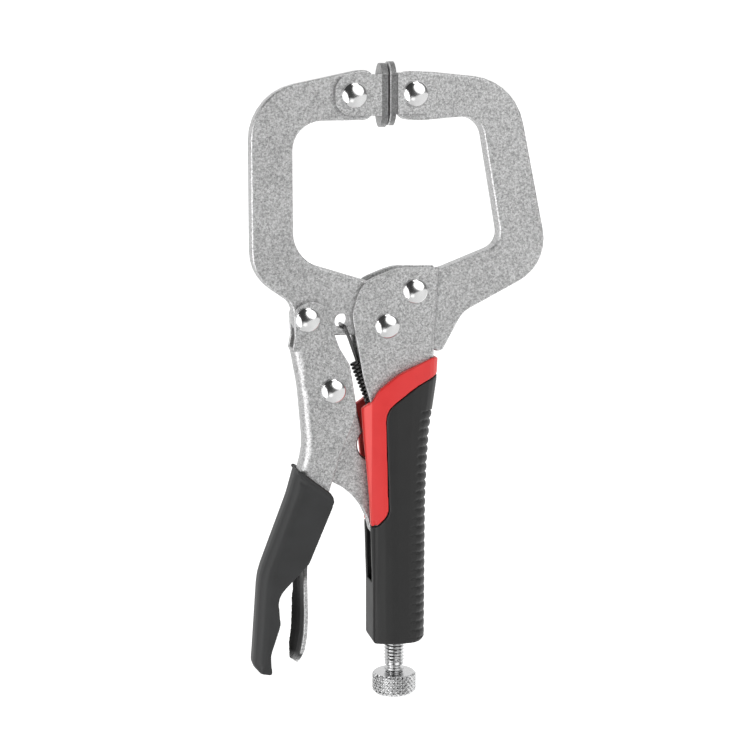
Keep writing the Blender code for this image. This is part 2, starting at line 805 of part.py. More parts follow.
def spring_path():
    """Points from the free end of the upper hook, through the jaw, down the coil and round the anchor."""
    anchor = Vector((SPRING_ANCHOR[0], 0, SPRING_ANCHOR[1]))
    hole = Vector((SPRING_HOLE[0], 0, SPRING_HOLE[1]))
    down = (anchor - hole).normalized()
    top = hole + down * (SPRING_HOLE_RADIUS - WIRE_RADIUS - 0.2)
    length = (anchor - top).length
    side = Vector((down.z, 0, -down.x))
    thick = Vector((0, 1, 0))
    face = JAW_HALF + WIRE_RADIUS + 0.3
    points = [
        top + down * 3.6 + thick * face,
        top + down * 0.6 + thick * face,
        top + thick * (face - 0.8),
        top,
        top - thick * (face - 0.8),
        top + down * 0.6 - thick * face,
        top + down * 3.0 - thick * face,
        top + down * 6.0 - thick * face,
        top + down * (length * COIL_START - 2.0) - thick * (COIL_RADIUS + 0.5),
    ]
    start, end = length * COIL_START, length * COIL_END
    per_turn = 10
    steps = COIL_TURNS * per_turn
    for step in range(steps + 1):
        angle = 2 * math.pi * step / per_turn
        along = start + (end - start) * step / steps
        spoke = side * math.sin(angle) - thick * math.cos(angle)
        points.append(top + down * along + spoke * COIL_RADIUS)
    hook = PIN_RADIUS + WIRE_RADIUS + 0.3
    points.append(anchor - down * (hook + 0.9) - side * (hook * 0.7) - thick * 0.6)
    for step in range(8):
        angle = math.radians(-150 + 40 * step)
        points.append(anchor + (side * math.cos(angle) * 1.0 - down * math.sin(-angle)) * hook)
    return points


def build_spring(wire):
    curve = bpy.data.curves.new("return_spring", "CURVE")
    curve.dimensions = "3D"
    curve.bevel_depth = WIRE_RADIUS * MM
    curve.bevel_resolution = 1
    curve.use_fill_caps = True
    points = spring_path()
    spline = curve.splines.new("POLY")
    spline.points.add(len(points) - 1)
    for point, place in zip(spline.points, points):
        point.co = (*(place * MM), 1)
    return finish(add_object("return_spring", curve), wire)


def main():
    clear_scene()
    steel = make_material("nickel_plated_steel", (0.62, 0.62, 0.63), 0.38, 1.0)
    polished = make_material("polished_rivet_steel", (0.78, 0.78, 0.79), 0.08, 1.0)
    plated = make_material("bright_zinc", (0.72, 0.72, 0.72), 0.22, 1.0)
    oxide = make_material("black_oxide_wire", (0.03, 0.03, 0.03), 0.35, 0.8)
    black = make_material("black_rubber", (0.03, 0.03, 0.032), 0.5, 0.0)
    red = make_material("red_rubber", (0.76, 0.045, 0.045), 0.42, 0.0)
    vinyl = make_material("dipped_vinyl", (0.04, 0.04, 0.042), 0.55, 0.0)

    jaw_axis = joint("jaw_axis", JAW_PIVOT)
    lever_axis = joint("lever_axis", LEVER_PIVOT, jaw_axis)
    link_axis = joint("link_axis", LINK_PIVOT, lever_axis)
    release_axis = joint("release_axis", RELEASE_PIVOT, lever_axis)
    moving_pad_axis = joint("moving_pad_axis", MOVING_PAD_PIVOT, jaw_axis)
    fixed_pad_axis = joint("fixed_pad_axis", FIXED_PAD_PIVOT)
    screw_axis = joint("screw_axis", (SCREW_X, SCREW_TIP))
    knob_axis = joint("knob_axis", (SCREW_X, KNOB_TOP), screw_axis)

    build_body(steel)
    build_fixed_jaw(steel)
    rivet("jaw_pivot_rivet", JAW_PIVOT, polished)
    rivet("fixed_jaw_rivet", FIXED_RIVET, polished)
    rivet("fixed_pad_rivet", FIXED_PAD_PIVOT, polished)
    build_grip(black, red)
    build_nut(steel)
    pin("spring_anchor_pin", SPRING_ANCHOR, PIN_RADIUS, OUTER_HALF - RUNNING_GAP, steel)
    build_spring(oxide)

    build_moving_jaw(steel, jaw_axis)
    rivet("lever_pivot_rivet", LEVER_PIVOT, polished, jaw_axis)
    rivet("moving_pad_rivet", MOVING_PAD_PIVOT, polished, jaw_axis)

    build_lever(steel, lever_axis)
    build_sleeve(vinyl, lever_axis)
    rivet("link_rivet", LINK_PIVOT, polished, lever_axis)
    pin("release_pin", RELEASE_PIVOT, PIN_RADIUS, OUTER_HALF - RUNNING_GAP, steel, lever_axis)
    build_link(steel, link_axis)
    build_release(steel, release_axis)

    build_pad("moving_pad", MOVING_PAD_PIVOT, -1, steel, moving_pad_axis)
    build_pad("fixed_pad", FIXED_PAD_PIVOT, 1, steel, fixed_pad_axis)
    build_screw(plated, screw_axis, knob_axis)


main()
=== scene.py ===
"""Looks of a locking C clamp: nickel plate, bright rivets, rubber grip, dipped sleeve and knurled knob."""

import math

import bpy
from mathutils import Matrix, Vector


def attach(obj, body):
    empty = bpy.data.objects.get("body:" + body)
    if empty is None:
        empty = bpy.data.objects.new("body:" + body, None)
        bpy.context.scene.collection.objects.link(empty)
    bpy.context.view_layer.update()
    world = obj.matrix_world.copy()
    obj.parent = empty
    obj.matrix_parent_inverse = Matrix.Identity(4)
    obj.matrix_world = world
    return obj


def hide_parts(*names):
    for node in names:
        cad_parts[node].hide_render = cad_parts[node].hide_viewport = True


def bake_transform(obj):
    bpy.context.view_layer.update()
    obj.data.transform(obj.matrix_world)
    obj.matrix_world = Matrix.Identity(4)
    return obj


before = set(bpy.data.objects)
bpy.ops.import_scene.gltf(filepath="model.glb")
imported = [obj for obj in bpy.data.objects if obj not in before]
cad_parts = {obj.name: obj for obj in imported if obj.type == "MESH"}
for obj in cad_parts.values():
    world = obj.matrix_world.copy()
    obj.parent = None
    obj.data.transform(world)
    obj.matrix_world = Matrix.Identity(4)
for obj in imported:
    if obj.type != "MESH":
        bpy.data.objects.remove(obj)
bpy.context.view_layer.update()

MM = 0.001

# Where things are, in millimetres, in the clamp's own frame: X and Z as seen from the front.
JAW_AXIS = (-0.6, -101.5)
FIXED_RIVET = (12.1, -86.2)
LEVER_AXIS = (-36.6, -97.8)
LINK_AXIS = (-25.1, -129.9)
LEFT_PAD_AXIS = (-15.4, 0.0)
RIGHT_PAD_AXIS = (12.0, 0.7)
SPRING_ANCHOR = (-1.5, -148.0)
SPRING_HOLE = (-20.7, -99.1)
SPRING_HOLE_RADIUS = 3.35
ANCHOR_PIN_RADIUS = 1.5
JAW_HALF = 4.75
SHEET_OUTER = 7.35
PAD_CUT_DEPTH = 0.45
PAD_CUT_HEIGHT = 17.0
SHANK_RADIUS = 2.9
RIVET_HEAD = 5.8
RIVET_DOME = 2.6
SCREW_X = 4.3
SCREW_RADIUS = 4.6
SCREW_TIP = -212.0
THREAD_PITCH = 1.5875
THREAD_DEPTH = 0.6
THREAD_END = -258.6
SPIGOT_FOOT = -269.8
KNOB_RADIUS = 10.1
KNOB_TOP = -263.8
KNOB_FOOT = -273.5
KNURL_TEETH = 26
KNURL_DEPTH = 0.75
RIB_PITCH = 4.05
RIB_FIRST = -142.6
RIB_COUNT = 26
WIRE_RADIUS = 0.75
COIL_RADIUS = 2.6
COIL_TURNS = 15
SLOT_SETBACK = 1.8
FACET_X = -8.2
FACET_SLOPE = 0.42
GRIP_FLAT = 7.9
GRIP_FOOT = -246.5
SEAM_X = -6.6
SEAM_TOP = -190
RED_FOOT = -194
SLEEVE_TIP_LIFT = 1.9
SLEEVE_FLAT = 8.2
RELEASE_LEAN = 1.6
CUFF = ((-41.9, -164.6), (-27.0, -176.2))
LEVER_BACK_X = -43.0
CORE_HALF = 7.65
CORE_ROUND = 3.8
GRIP_CORE = [(-75, 24.3), (-117, 21.6), (-165, 17.3), (-246, 16.5)]
GRIP_RIGHT = [
    (-115, 24.0),
    (-127, 23.4),
    (-139, 21.6),
    (-150, 20.0),
    (-165, 19.0),
    (-180, 18.4),
    (-193, 18.2),
    (-220, 18.1),
    (-246, 18.0),
]


# ---- Modelling helpers -------------------------------------------------------------------------


def deselect():
    for obj in list(bpy.context.selected_objects):
        obj.select_set(False)


def pick(obj):
    """Makes obj the only selected and the active object."""
    deselect()
    obj.select_set(True)
    bpy.context.view_layer.objects.active = obj


def apply_modifier(obj, kind, **settings):
    """Adds a modifier with these settings and applies it at once."""
    pick(obj)
    modifier = obj.modifiers.new(kind.lower(), kind)
    for key, value in settings.items():
        setattr(modifier, key, value)
    bpy.ops.object.modifier_apply(modifier=modifier.name)


def in_edit(obj):
    pick(obj)
    bpy.ops.object.mode_set(mode="EDIT")
    bpy.ops.mesh.select_mode(type="VERT")
    bpy.ops.mesh.select_all(action="SELECT")


def out_of_edit():
    bpy.ops.object.mode_set(mode="OBJECT")


def break_edges(obj, width, segments, clamp):
    apply_modifier(
        obj,
        "BEVEL",
        width=width * MM,
        segments=segments,
        limit_method="ANGLE",
        angle_limit=math.radians(34),
        use_clamp_overlap=clamp,
    )


def smooth(obj, angle):
    """Smooth shading across edges flatter than this angle."""
    pick(obj)
    bpy.ops.object.shade_smooth_by_angle(angle=math.radians(angle))


def machined_copy(node, name, edge, segments=2):
    """A merged copy of a CAD node, its edges broken by this much unless edge is 0."""
    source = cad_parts[node]
    copy = bpy.data.objects.new(name, source.data.copy())
    bpy.context.scene.collection.objects.link(copy)
    copy.data.materials.clear()
    in_edit(copy)
    bpy.ops.mesh.remove_doubles(threshold=0.000004)
    bpy.ops.mesh.normals_make_consistent(inside=False)
    bpy.ops.mesh.dissolve_limited(angle_limit=math.radians(0.6))
    out_of_edit()
    if edge:
        break_edges(copy, edge, segments, clamp=False)
    return copy


def weighted(obj, angle=32):
    """Smooth shading whose normals follow the large faces, so flats stay flat up to their rounded edges."""
    smooth(obj, angle)
    apply_modifier(obj, "WEIGHTED_NORMAL", mode="FACE_AREA", weight=60, keep_sharp=True)
    return obj


def soft_copy(node, name, voxel, passes, factor=0.5):
    """A copy of a CAD node remeshed and relaxed, for moulded and dipped pieces with no crisp edge."""
    copy = machined_copy(node, name, edge=0)
    apply_modifier(copy, "REMESH", mode="VOXEL", voxel_size=voxel * MM, use_smooth_shade=True)
    apply_modifier(copy, "SMOOTH", factor=factor, iterations=passes)
    return copy


def rolled(name, around, rows, place):
    """A grid rolled into a closed tube: place(u, v) gives the point, in mm, at share u round and v along."""
    deselect()
    bpy.ops.mesh.primitive_grid_add(x_subdivisions=around, y_subdivisions=rows, size=2)
    obj = bpy.context.object
    obj.name = name
    for vertex in obj.data.vertices:
        vertex.co = Vector(place((vertex.co.x + 1) / 2, (vertex.co.y + 1) / 2)) * MM
    in_edit(obj)
    bpy.ops.mesh.remove_doubles(threshold=0.000001)
    bpy.ops.mesh.fill_holes(sides=0)
    bpy.ops.mesh.select_all(action="SELECT")
    bpy.ops.mesh.normals_make_consistent(inside=False)
    out_of_edit()
    return obj


def with_normals(obj):
    """Pairs of each vertex and its normal, read before any vertex moves."""
    return [(vertex, vertex.normal.copy()) for vertex in obj.data.vertices]


def along_profile(profile, share):
    """The point at this share of the length of a profile of (radius, height) points."""
    lengths = [math.dist(a, b) for a, b in zip(profile, profile[1:])]
    left = share * sum(lengths)
    for (r1, h1), (r2, h2), length in zip(profile, profile[1:], lengths):
        if left <= length:
            return r1 + (r2 - r1) * left / length, h1 + (h2 - h1) * left / length
        left -= length
    return profile[-1]


def smoothstep(low, high, value):
    share = min(1.0, max(0.0, (value - low) / (high - low)))
    return share * share * (3 - 2 * share)


# ---- Material helpers --------------------------------------------------------------------------


class Value:
    """A socket that takes part in arithmetic, each operation adding its Math node."""

    def __init__(self, board, socket):
        self.board = board
        self.socket = socket

    def _math(self, operation, first, second):
        inputs = {0: first, 1: second}
        return self.board.node("ShaderNodeMath", {"operation": operation}, inputs)

    def __add__(self, other):
        return self._math("ADD", self, other)

    def __radd__(self, other):
        return self._math("ADD", other, self)

    def __rsub__(self, other):
        return self._math("SUBTRACT", other, self)

    def __mul__(self, other):
        return self._math("MULTIPLY", self, other)

    def __rmul__(self, other):
        return self._math("MULTIPLY", other, self)


class Board:
    """A node tree with one way of adding a node."""

    def __init__(self, tree):
        self.tree = tree

    def node(self, kind, settings, inputs, output=0):
        """Adds a node of this kind, sets it, feeds its sockets, and returns one of its outputs."""
        node = self.tree.nodes.new(kind)
        for key, value in settings.items():
            if key == "stops":
                self._set_stops(node.color_ramp, value)
            else:
                setattr(node, key, value)
        for key, value in inputs.items():
            self.feed(node.inputs[key], value)
        return Value(self, node.outputs[output])

    def _set_stops(self, ramp, stops):
        while len(ramp.elements) < len(stops):
            ramp.elements.new(0.5)
        for element, (position, level) in zip(ramp.elements, stops):
            element.position = position
            element.color = (level, level, level, 1) if isinstance(level, (int, float)) else (*level, 1)

    def feed(self, socket, value):
        if isinstance(value, Value):
            self.tree.links.new(value.socket, socket)
        else:
            socket.default_value = value

    def between(self, value, low, high, first=0.0, last=1.0):
        """Goes smoothly from first to last as value goes from low to high."""
        inputs = {"Value": value, "From Min": low, "From Max": high, "To Min": first, "To Max": last}
        return self.node("ShaderNodeMapRange", {"interpolation_type": "SMOOTHSTEP"}, inputs)

    def along(self, vector, axis):
        """How far a vector reaches along an axis."""
        inputs = {0: vector, 1: axis}
        return self.node("ShaderNodeVectorMath", {"operation": "DOT_PRODUCT"}, inputs, "Value")


class Finish(Board):
    """A procedural material on one Principled shader, patterned in Object coordinates."""

    def __init__(self, name, **fixed):
        self.material = bpy.data.materials.new(name)
        self.material.use_nodes = True
        super().__init__(self.material.node_tree)
        self.shader = self.tree.nodes["Principled BSDF"]
        for socket, value in fixed.items():
            self.shader.inputs[socket.replace("_", " ")].default_value = value
        self.place = self.node("ShaderNodeTexCoord", {}, {}, "Object")

    def noise(self, size, detail=2.0, roughness=0.5):
        """Noise whose features are about this many millimetres across."""
        inputs = {
            "Vector": self.place,
            "Scale": 1 / (size * MM),
            "Detail": detail,
            "Roughness": roughness,
        }
        return self.node("ShaderNodeTexNoise", {}, inputs, "Fac")

    def ramp(self, fac, stops):
        return self.node("ShaderNodeValToRGB", {"stops": stops}, {"Fac": fac}, "Color")

    def blend(self, fac, first, second):
        inputs = {"Factor": fac, "A": first, "B": second}
        node = self.tree.nodes.new("ShaderNodeMix")
        node.data_type = "RGBA"
        sockets = {"Factor": node.inputs[0], "A": node.inputs[6], "B": node.inputs[7]}
        for key, value in inputs.items():
            self.feed(sockets[key], value)
        return Value(self, node.outputs[2])

    def bump(self, height, depth, strength=1.0):
        """A bump whose full height is this many millimetres."""
        inputs = {"Height": height, "Distance": depth * MM, "Strength": strength}
        return self.node("ShaderNodeBump", {}, inputs, "Normal")

    def paint(self, **inputs):
        for key, value in inputs.items():
            self.feed(self.shader.inputs[key.replace("_", " ")], value)
        return self.material


def grey(level, tint=0.0):
    return (level - tint, level, level + tint, 1)


def nickel_plate(name="nickel_plated_steel", shade=None):
    """Blasted, nickel-plated plate: a bright and dark speckle over slow patches, darker where shaded."""
    finish = Finish(name, Metallic=1.0)
    coarse = finish.noise(0.85, detail=2, roughness=0.6)
    fine = finish.noise(0.4, detail=2, roughness=0.6)
    grain = 0.55 * coarse + 0.45 * fine
    patches = finish.noise(16, detail=3, roughness=0.55)
    speckle = finish.ramp(grain, [(0.38, 0.0), (0.5, 0.5), (0.62, 1.0)])
    light = finish.blend(patches, grey(0.66, 0.001), grey(0.76, 0.001))
    dark = finish.blend(patches, grey(0.24), grey(0.32))
    color = finish.blend(speckle, dark, light)
    if shade:
        color = finish.blend(shade(finish), color, grey(0.05))
    rough = 0.34 + 0.12 * patches + 0.12 * fine
    return finish.paint(Base_Color=color, Roughness=rough, Normal=finish.bump(grain, 0.09, 0.9))


def pad_edge_painted_shade(finish):
    """Painted shade on the cut edges of the two facing plates, making them darker than their ears."""
    across = finish.along(finish.place, (1 / MM, 0, 0))
    left = finish.between(across, -3.3, -3.1) * finish.between(across, -0.6, -0.4, 1, 0)
    right = finish.between(across, 0.9, 1.1) * finish.between(across, 3.9, 4.1, 1, 0)
    return 0.62 * left + 0.62 * right


def pan_hollow_painted_shade(finish):
    """Painted shade on the hollow side of the release lever, darkest low down."""
    height = finish.along(finish.place, (0, 0, 1 / MM))
    depth = finish.along(finish.place, (0, 1 / MM, 0))
    inside = finish.between(depth, -5.6, -4.9)
    low = finish.between(height, -238, -205, 1.0, 0.78)
    return inside * low * finish.between(height, -256, -251)


def polished_steel():
    finish = Finish("polished_rivet_steel", Metallic=1.0)
    smear = finish.noise(3.0, detail=3)
    scratch = finish.noise(0.5, detail=2)
    color = finish.blend(smear, grey(0.72), grey(0.84))
    return finish.paint(
        Base_Color=color, Roughness=0.09 + 0.08 * smear, Normal=finish.bump(scratch, 0.004, 0.3)
    )


def bright_zinc():
    finish = Finish("bright_zinc", Metallic=1.0)
    cloud = finish.noise(2.2, detail=4)
    grain = finish.noise(0.3, detail=2)
    color = finish.blend(cloud, grey(0.46, 0.002), grey(0.62, 0.002))
    return finish.paint(
        Base_Color=color, Roughness=0.17 + 0.14 * cloud, Normal=finish.bump(grain, 0.012, 0.5)
    )


def black_oxide():
    finish = Finish("black_oxide_wire", Metallic=0.7)
    cloud = finish.noise(1.2, detail=3)
    color = finish.blend(cloud, grey(0.05), grey(0.12))
    return finish.paint(Base_Color=color, Roughness=0.18 + 0.14 * cloud)


def black_rubber():
    """Moulded black rubber: a fine matte stipple, slightly greyed in slow patches."""
    finish = Finish("black_rubber", Metallic=0.0, Specular_IOR_Level=0.45)
    stipple = finish.noise(0.22, detail=2)
    cloud = finish.noise(9.0, detail=3)
    color = finish.blend(cloud, grey(0.004), grey(0.009))
    return finish.paint(
        Base_Color=color, Roughness=0.44 + 0.14 * cloud, Normal=finish.bump(stipple, 0.02, 0.5)
    )


def red_rubber():
    finish = Finish("red_rubber", Metallic=0.0, Specular_IOR_Level=0.45)
    stipple = finish.noise(0.22, detail=2)
    cloud = finish.noise(9.0, detail=3)
    color = finish.blend(cloud, (0.56, 0.016, 0.016, 1), (0.64, 0.026, 0.025, 1))
    # Painted highlight: the grip's left facet, left of FACET_X, is blended towards a lighter red, standing
    # in for the left soft box's light on it.
    across = finish.along(finish.place, (1 / MM, 0, 0))
    facet = finish.between(across, FACET_X - 0.3, FACET_X + 0.3, 0.6, 0.0)
    color = finish.blend(facet, color, (0.84, 0.10, 0.09, 1))
    return finish.paint(
        Base_Color=color, Roughness=0.40 + 0.12 * cloud, Normal=finish.bump(stipple, 0.02, 0.4)
    )


def dipped_vinyl():
    """Thick dipped vinyl: matte, faintly pebbled, with slow drips in its gloss."""
    finish = Finish("dipped_vinyl", Metallic=0.0, Specular_IOR_Level=0.4)
    pebble = finish.noise(0.5, detail=3, roughness=0.6)
    cloud = finish.noise(8.0, detail=3)
    color = finish.blend(cloud, grey(0.013), grey(0.025, 0.001))
    return finish.paint(
        Base_Color=color, Roughness=0.46 + 0.16 * cloud, Normal=finish.bump(pebble, 0.035, 0.6)
    )


def pale_floor():
    finish = Finish("pale_floor", Metallic=0.0, Roughness=0.9)
    cloud = finish.noise(400, detail=2)
    return finish.paint(
        Base_Color=finish.blend(cloud, grey(0.28), grey(0.30)),
        Emission_Color=grey(1.0),
        Emission_Strength=1.0,
    )


# ---- Pieces ------------------------------------------------------------------------------------


def place_piece(obj, node, body, finish, material=None):
    """Gives a finished piece its material, hides the CAD node it stands for and hangs it on the body it
    moves with.
    """
    obj.data.materials.clear()
    obj.data.materials.append(material or FINISHES[finish])
    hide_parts(node)
    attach(obj, body)
    return obj


def set_back_in_slot(channel):
    """Sets the channel's open edges back, out of sight behind the slot in the rubber."""
    for vertex in channel.data.vertices:
        if vertex.co.x / MM < -4:
            vertex.co.x += SLOT_SETBACK * smoothstep(-150, -165, vertex.co.z / MM) * MM


def make_plates():
    """The flat and folded steel pieces, each with its broken edges."""
    plates = [
        ("moving_jaw", "jaw", 0.35, 3),
        ("fixed_jaw", "root", 0.35, 3),
        ("body_channel", "root", 0.45, 3),
        ("lever_channel", "lever", 0.45, 3),
        ("toggle_link", "link", 0.25, 2),
        ("end_nut", "root", 0.3, 2),
        ("spring_anchor_pin", "root", 0.2, 2),
        ("release_pin", "lever", 0.2, 2),
    ]
    for node, body, edge, segments in plates:
        piece = machined_copy(node, f"{node}_plate", edge, segments)
        if node == "body_channel":
            set_back_in_slot(piece)
        place_piece(weighted(piece), node, body, "nickel_plated_steel")


def make_pads():
    """The swivel pads: each facing plate's edge is cut back between its ears and its face."""
    for node, body, low, high in (
        ("moving_pad", "left_pad", -3.2, -0.3),
        ("fixed_pad", "right_pad", 1.0, 3.9),
    ):
        pad = machined_copy(node, f"{node}_pressed", edge=0)
        for side in (-1, 1):
            deselect()
            bpy.ops.mesh.primitive_cube_add(size=1, location=(0, 0, 0))
            cutter = bpy.context.object
            for vertex in cutter.data.vertices:
                x = high if vertex.co.x > 0 else low
                outward = 1.0 if vertex.co.y * side > 0 else -PAD_CUT_DEPTH
                y = side * (SHEET_OUTER + outward)
                vertex.co = Vector((x, y, vertex.co.z * PAD_CUT_HEIGHT)) * MM
            apply_modifier(pad, "BOOLEAN", operation="DIFFERENCE", solver="EXACT", object=cutter)
            bpy.data.objects.remove(cutter, do_unlink=True)
        break_edges(pad, 0.3, 2, clamp=True)
        # The pads take the plate finish with painted shade on their cut-back edges.
        place_piece(weighted(pad), node, body, "nickel_plated_steel", PAD_PAINTED_SHADE_FINISH)


def make_rivets():
    """Six rivets, each a shank with a polished dome on both ends."""
    seat = SHEET_OUTER + 0.12
    rivets = [
        ("jaw_pivot_rivet", "root", JAW_AXIS),
        ("fixed_jaw_rivet", "root", FIXED_RIVET),
        ("fixed_pad_rivet", "root", RIGHT_PAD_AXIS),
        ("moving_pad_rivet", "jaw", LEFT_PAD_AXIS),
        ("lever_pivot_rivet", "jaw", LEVER_AXIS),
        ("link_rivet", "lever", LINK_AXIS),
    ]
    dome = [
        (RIVET_HEAD * math.sin(math.radians(angle)), seat + RIVET_DOME * math.cos(math.radians(angle)))
        for angle in range(0, 91, 6)
    ]
    half = dome + [(RIVET_HEAD - 0.15, seat - 0.1), (SHANK_RADIUS, seat - 0.1)]
    profile = half + [(radius, -height) for radius, height in reversed(half)]
    for node, body, (x, z) in rivets:

        def place(u, v):
            radius, height = profile[round(v * (len(profile) - 1))]
            angle = 2 * math.pi * u
            return x + radius * math.cos(angle), -height, z + radius * math.sin(angle)

        rivet = rolled(f"{node}_domed", 48, len(profile) - 1, place)
        smooth(rivet, 40)
        place_piece(rivet, node, body, "polished_rivet_steel")


def rib_groove(z):
    """How deep the rubber sits between two round ribs at height z: 0 on a rib's crest, 1 in the valley."""
    along = (RIB_FIRST - z) / RIB_PITCH
    if along < -0.5 or along > RIB_COUNT - 0.5:
        return 0.0
    off_crest = abs((along + 0.5) % 1.0 - 0.5) * 2
    return 1 - math.sqrt(max(0.0, 1 - off_crest**2.4))


def between_stations(stations, z):
    """The value at height z, straight between stations (height, value) listed downwards."""
    for (z1, first), (z2, second) in zip(stations, stations[1:]):
        if z2 <= z <= z1:
            return first + (second - first) * (z1 - z) / (z1 - z2)
    return stations[-1][1]


def outside_core(x, y, z):
    """Whether a point of the grip is on its outer skin, and not on the wall round the body channel."""
    core_x = between_stations(GRIP_CORE, z) - CORE_ROUND
    return math.hypot(max(x - core_x, 0), max(abs(y) - CORE_HALF + CORE_ROUND, 0)) > CORE_ROUND + 0.3


def carve_grip(grip):
    """Presses the finger ribs, the left corner's facet and its seam into the grip's outer skin."""
    for vertex, normal in with_normals(grip):
        x, y, z = vertex.co / MM
        if z < GRIP_FOOT or not outside_core(x, y, z):
            continue
        right = between_stations(GRIP_RIGHT, z)
        lower = smoothstep(-178, -196, z)
        start = right - 7.6 - 2.2 * lower
        reach = smoothstep(start, start + 2.4, x)
        at_edge = smoothstep(right - 2.5, right - 0.6, x)
        depth = 0.95 + (0.65 - 0.95 * lower) * at_edge
        push = depth * reach * rib_groove(z)
        if z < SEAM_TOP and abs(y) > GRIP_FLAT:
            push += 0.45 * math.exp(-(((x - SEAM_X) / 0.4) ** 2))
        vertex.co -= normal * push * MM
        if abs(y) > GRIP_FLAT and x < FACET_X and z > RED_FOOT:
            vertex.co.y -= math.copysign(FACET_SLOPE * (FACET_X - x), y) * MM


def make_grip():
    """The black grip and its red accent, carved as one skin so that their ribs and facet run on."""
    for node, finish in (("main_grip", "black_rubber"), ("grip_accent", "red_rubber")):
        grip = soft_copy(node, f"{node}_rubber", 0.45, 4)
        carve_grip(grip)
        place_piece(grip, node, "root", finish)


def make_sleeve():
    """The dipped sleeve, with a rolled cuff at its mouth and a groove under the roll."""
    sleeve = soft_copy("lever_sleeve", "lever_sleeve_vinyl", 0.5, 14)
    (x1, z1), (x2, z2) = CUFF
    length = math.hypot(x2 - x1, z2 - z1)
    for vertex, normal in with_normals(sleeve):
        x, y, z = vertex.co / MM
        below = ((x2 - x1) * (z1 - z) - (z1 - z2) * (x - x1)) / length
        roll = 0.55 * math.exp(-(((below - 1.1) / 1.2) ** 2))
        groove = 0.2 * math.exp(-(((below - 3.6) / 0.8) ** 2))
        if abs(y) > SLEEVE_FLAT or x < LEVER_BACK_X:
            vertex.co += normal * (roll - groove) * MM
        vertex.co.z += SLEEVE_TIP_LIFT * smoothstep(-245, -266, z) * MM
    place_piece(sleeve, "lever_sleeve", "lever", "dipped_vinyl")


def make_release():
    release = soft_copy("release_lever", "release_lever_stamped", 0.3, 5)
    for vertex in release.data.vertices:
        vertex.co.x += RELEASE_LEAN * smoothstep(-212, -250, vertex.co.z / MM) * MM
    # The lever's hollow side gets painted shade from its finish.
    place_piece(release, "release_lever", "release", "nickel_plated_steel", PAN_PAINTED_SHADE_FINISH)


def make_screw():
    """The adjusting screw, its thread cut as one helix, with two rings below it."""
    neck = [
        (THREAD_END - 0.3, SCREW_RADIUS - 0.5),
        (THREAD_END - 1.2, SCREW_RADIUS - 0.2),
        (THREAD_END - 1.9, SCREW_RADIUS - 0.9),
        (THREAD_END - 2.5, SCREW_RADIUS - 0.9),
        (THREAD_END - 3.0, SCREW_RADIUS - 0.1),
        (THREAD_END - 3.9, SCREW_RADIUS - 0.1),
        (THREAD_END - 4.4, SCREW_RADIUS - 1.0),
        (SPIGOT_FOOT, SCREW_RADIUS - 1.0),
    ]

    def radius_at(angle, z):
        if z < THREAD_END:
            height, radius = THREAD_END, SCREW_RADIUS - THREAD_DEPTH
            for next_height, next_radius in neck:
                if z >= next_height:
                    share = (height - z) / (height - next_height)
                    return radius + (next_radius - radius) * share
                height, radius = next_height, next_radius
            return radius
        turn = (z / THREAD_PITCH + angle / (2 * math.pi)) % 1.0
        cut = THREAD_DEPTH * min(1.0, abs(2 * turn - 1) * 1.15)
        runout = smoothstep(0.0, 2.0, SCREW_TIP - z)
        return (SCREW_RADIUS - 1.1 * (1 - runout)) - cut * runout

    def place(u, v):
        angle = 2 * math.pi * u
        z = SCREW_TIP + (SPIGOT_FOOT - SCREW_TIP) * v
        radius = radius_at(angle, z)
        return SCREW_X + radius * math.cos(angle), radius * math.sin(angle), z

    screw = rolled("adjusting_screw_threaded", 40, 360, place)
    smooth(screw, 60)
    place_piece(screw, "adjusting_screw", "screw", "bright_zinc")


def make_knob():
    """The knob, its side cut with two crossing sets of helical grooves."""
    profile = [
        (3.9, KNOB_TOP - 6.8),
        (3.9, KNOB_TOP - 0.2),
        (4.2, KNOB_TOP),
        (KNOB_RADIUS - 0.9, KNOB_TOP),
        (KNOB_RADIUS, KNOB_TOP - 0.9),
        (KNOB_RADIUS, KNOB_FOOT + 1.4),
        (KNOB_RADIUS - 1.4, KNOB_FOOT),
        (0.01, KNOB_FOOT),
    ]
    lead = 2 * math.pi * KNOB_RADIUS / KNURL_TEETH

    def place(u, v):
        angle = 2 * math.pi * u
        radius, z = along_profile(profile, v)
        depth = 0.0
        if radius > KNOB_RADIUS - 1.0:
            climb = (z - KNOB_FOOT) / lead
            for hand in (1, -1):
                phase = (u * KNURL_TEETH + hand * climb) % 1.0
                depth = max(depth, KNURL_DEPTH * max(0.0, 1 - abs(2 * phase - 1) * 1.8))
            depth *= smoothstep(KNOB_RADIUS - 1.0, KNOB_RADIUS - 0.3, radius)
        radius -= depth
        return SCREW_X + radius * math.cos(angle), radius * math.sin(angle), z

    knob = rolled("adjusting_knob_knurled", 240, 130, place)
    smooth(knob, 35)
    place_piece(knob, "adjusting_knob", "knob", "bright_zinc")


